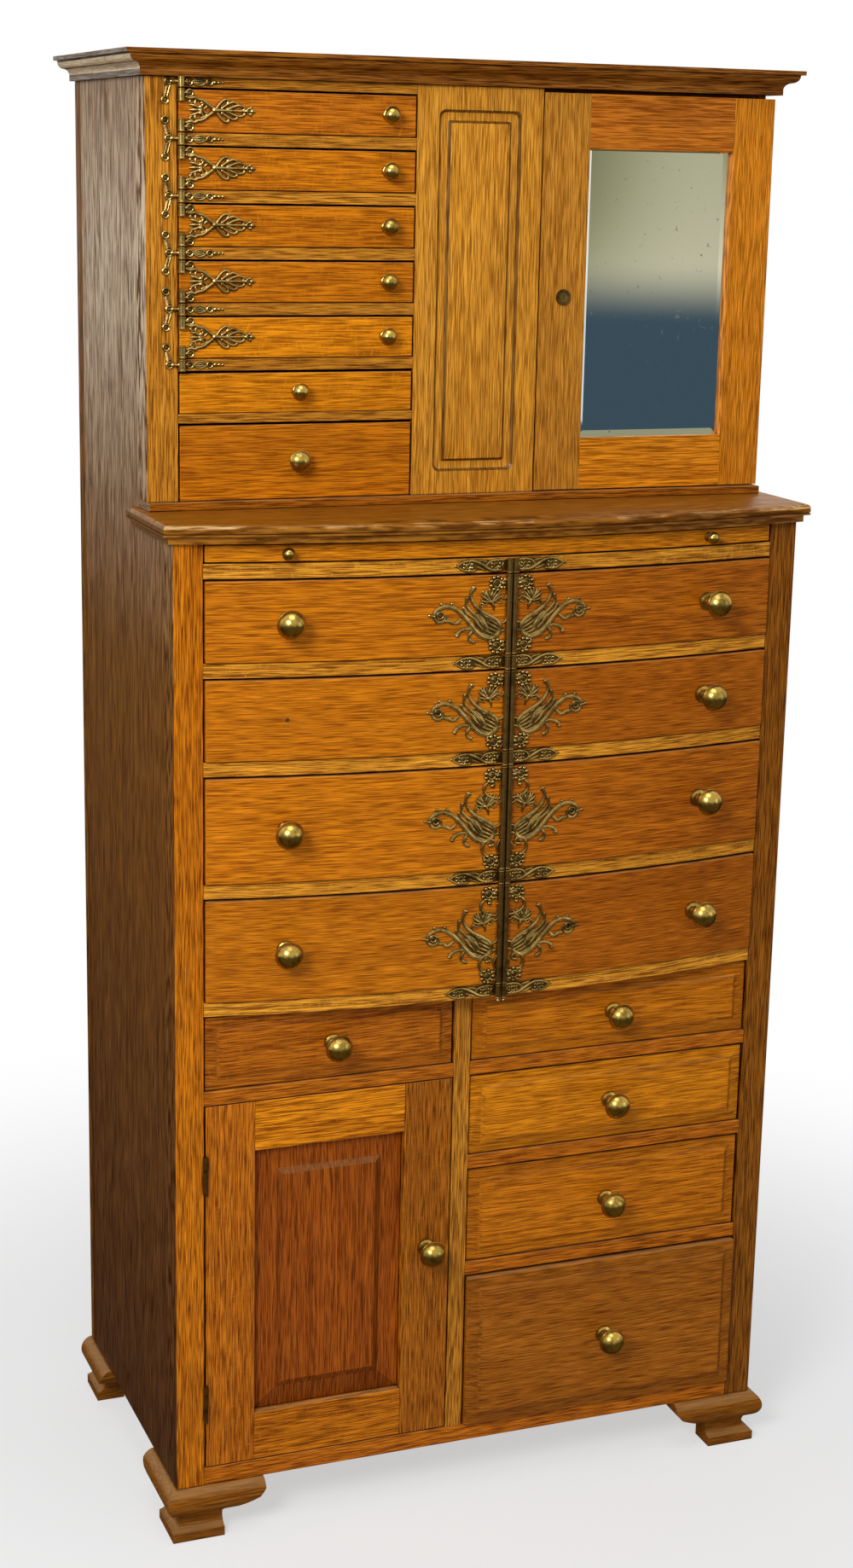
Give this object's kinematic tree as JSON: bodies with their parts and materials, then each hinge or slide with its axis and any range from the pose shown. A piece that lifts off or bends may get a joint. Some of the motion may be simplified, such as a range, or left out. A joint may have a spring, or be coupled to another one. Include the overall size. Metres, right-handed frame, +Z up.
{
  "type": "dental cabinet",
  "caption": "Free-standing oak dental cabinet with bowed swing trays under a counter, swing trays and a mirror door above, drawers and a panel door below.",
  "frame": {"origin": "on the floor, at the middle of the bounding box in plan", "axes": "+Z up, -Y to the front, +X to the right of someone facing the front"},
  "size_m": [0.768, 0.4544, 1.6155],
  "materials": {
    "oak": "varnished golden oak, worn satin gloss",
    "oak_dark": "darker varnished oak",
    "oak_inside": "plain unpolished board",
    "brass": "polished, a little tarnished",
    "brass_aged": "antique brass with dark hollows",
    "mirror": "old silvered plate glass"
  },
  "bodies": {
    "case": {"case_sides": "oak", "back_board": "oak_inside", "lower_face_frame": "oak", "bow_rails": "oak", "inner_boards": "oak_inside", "counter_top": "oak", "upper_face_frame": "oak", "centre_panel": "oak", "cornice": "oak", "feet": "oak_dark", "fixed_hinge_leaves": "brass_aged"},
    "upper_tray_5": {"upper_tray_5": "oak", "upper_tray_5_brass": "brass_aged"},
    "upper_tray_4": {"upper_tray_4": "oak", "upper_tray_4_brass": "brass_aged"},
    "upper_tray_3": {"upper_tray_3": "oak", "upper_tray_3_brass": "brass_aged"},
    "upper_tray_2": {"upper_tray_2": "oak", "upper_tray_2_brass": "brass_aged"},
    "upper_tray_1": {"upper_tray_1": "oak", "upper_tray_1_brass": "brass_aged"},
    "upper_drawer_a": {"upper_drawer_a": "oak", "upper_drawer_a_knob": "brass"},
    "upper_drawer_b": {"upper_drawer_b": "oak", "upper_drawer_b_knob": "brass"},
    "mirror_door": {"mirror_door_frame": "oak", "mirror_plate": "mirror", "mirror_door_brass": "brass_aged"},
    "lock_plug": {"lock_plug": "brass_aged"},
    "writing_slide": {"writing_slide": "oak", "writing_slide_knobs": "brass"},
    "bow_tray_left_4": {"bow_tray_left_4": "oak", "bow_tray_left_4_brass": "brass_aged"},
    "bow_tray_right_4": {"bow_tray_right_4": "oak", "bow_tray_right_4_brass": "brass_aged"},
    "bow_tray_left_3": {"bow_tray_left_3": "oak", "bow_tray_left_3_brass": "brass_aged"},
    "bow_tray_right_3": {"bow_tray_right_3": "oak", "bow_tray_right_3_brass": "brass_aged"},
    "bow_tray_left_2": {"bow_tray_left_2": "oak", "bow_tray_left_2_brass": "brass_aged"},
    "bow_tray_right_2": {"bow_tray_right_2": "oak", "bow_tray_right_2_brass": "brass_aged"},
    "bow_tray_left_1": {"bow_tray_left_1": "oak", "bow_tray_left_1_brass": "brass_aged"},
    "bow_tray_right_1": {"bow_tray_right_1": "oak", "bow_tray_right_1_brass": "brass_aged"},
    "small_drawer": {"small_drawer": "oak", "small_drawer_knob": "brass"},
    "right_drawer_1": {"right_drawer_1": "oak", "right_drawer_1_knob": "brass"},
    "right_drawer_2": {"right_drawer_2": "oak", "right_drawer_2_knob": "brass"},
    "right_drawer_3": {"right_drawer_3": "oak", "right_drawer_3_knob": "brass"},
    "right_drawer_4": {"right_drawer_4": "oak", "right_drawer_4_knob": "brass"},
    "panel_door": {"panel_door_frame": "oak", "door_panel": "oak_dark", "panel_door_brass": "brass"}
  },
  "joints": [
    {"name": "upper_tray_5_swing", "type": "hinge", "parent": "case", "child": "upper_tray_5", "pos_m": [-0.323, -0.07879, 1.32875], "axis": [0, 0, -1], "range_deg": [0, 95]},
    {"name": "upper_tray_4_swing", "type": "hinge", "parent": "case", "child": "upper_tray_4", "pos_m": [-0.323, -0.07879, 1.38575], "axis": [0, 0, -1], "range_deg": [0, 95]},
    {"name": "upper_tray_3_swing", "type": "hinge", "parent": "case", "child": "upper_tray_3", "pos_m": [-0.323, -0.07879, 1.44275], "axis": [0, 0, -1], "range_deg": [0, 95]},
    {"name": "upper_tray_2_swing", "type": "hinge", "parent": "case", "child": "upper_tray_2", "pos_m": [-0.323, -0.07879, 1.49975], "axis": [0, 0, -1], "range_deg": [0, 95]},
    {"name": "upper_tray_1_swing", "type": "hinge", "parent": "case", "child": "upper_tray_1", "pos_m": [-0.323, -0.07879, 1.55675], "axis": [0, 0, -1], "range_deg": [0, 95]},
    {"name": "upper_drawer_a_pull", "type": "slide", "parent": "case", "child": "upper_drawer_a", "axis": [0, -1, 0], "range_m": [0, 0.18]},
    {"name": "upper_drawer_b_pull", "type": "slide", "parent": "case", "child": "upper_drawer_b", "axis": [0, -1, 0], "range_m": [0, 0.18]},
    {"name": "mirror_door_swing", "type": "hinge", "parent": "case", "child": "mirror_door", "pos_m": [0.3629, -0.05279, 1.3695], "axis": [0, 0, 1], "range_deg": [0, 110]},
    {"name": "lock_turn", "type": "hinge", "parent": "mirror_door", "child": "lock_plug", "pos_m": [0.11, -0.05379, 1.3695], "axis": [0, -1, 0], "range_deg": [0, 90]},
    {"name": "writing_slide_pull", "type": "slide", "parent": "case", "child": "writing_slide", "axis": [0, -1, 0], "range_m": [0, 0.24]},
    {"name": "bow_tray_left_4_swing", "type": "hinge", "parent": "case", "child": "bow_tray_left_4", "pos_m": [-0.0034, -0.21199, 0.6915], "axis": [0, 0, 1], "range_deg": [0, 84]},
    {"name": "bow_tray_right_4_swing", "type": "hinge", "parent": "case", "child": "bow_tray_right_4", "pos_m": [0.0034, -0.21199, 0.6915], "axis": [0, 0, -1], "range_deg": [0, 84]},
    {"name": "bow_tray_left_3_swing", "type": "hinge", "parent": "case", "child": "bow_tray_left_3", "pos_m": [-0.0034, -0.21199, 0.8235], "axis": [0, 0, 1], "range_deg": [0, 84]},
    {"name": "bow_tray_right_3_swing", "type": "hinge", "parent": "case", "child": "bow_tray_right_3", "pos_m": [0.0034, -0.21199, 0.8235], "axis": [0, 0, -1], "range_deg": [0, 84]},
    {"name": "bow_tray_left_2_swing", "type": "hinge", "parent": "case", "child": "bow_tray_left_2", "pos_m": [-0.0034, -0.21199, 0.9425], "axis": [0, 0, 1], "range_deg": [0, 84]},
    {"name": "bow_tray_right_2_swing", "type": "hinge", "parent": "case", "child": "bow_tray_right_2", "pos_m": [0.0034, -0.21199, 0.9425], "axis": [0, 0, -1], "range_deg": [0, 84]},
    {"name": "bow_tray_left_1_swing", "type": "hinge", "parent": "case", "child": "bow_tray_left_1", "pos_m": [-0.0034, -0.21199, 1.047], "axis": [0, 0, 1], "range_deg": [0, 84]},
    {"name": "bow_tray_right_1_swing", "type": "hinge", "parent": "case", "child": "bow_tray_right_1", "pos_m": [0.0034, -0.21199, 1.047], "axis": [0, 0, -1], "range_deg": [0, 84]},
    {"name": "small_drawer_pull", "type": "slide", "parent": "case", "child": "small_drawer", "axis": [0, -1, 0], "range_m": [0, 0.26]},
    {"name": "right_drawer_1_pull", "type": "slide", "parent": "case", "child": "right_drawer_1", "axis": [0, -1, 0], "range_m": [0, 0.26]},
    {"name": "right_drawer_2_pull", "type": "slide", "parent": "case", "child": "right_drawer_2", "axis": [0, -1, 0], "range_m": [0, 0.26]},
    {"name": "right_drawer_3_pull", "type": "slide", "parent": "case", "child": "right_drawer_3", "axis": [0, -1, 0], "range_m": [0, 0.26]},
    {"name": "right_drawer_4_pull", "type": "slide", "parent": "case", "child": "right_drawer_4", "axis": [0, -1, 0], "range_m": [-0.01, 0.25]},
    {"name": "panel_door_swing", "type": "hinge", "parent": "case", "child": "panel_door", "pos_m": [-0.327, -0.17569, 0.3], "axis": [0, 0, -1], "range_deg": [0, 105]}
  ]
}
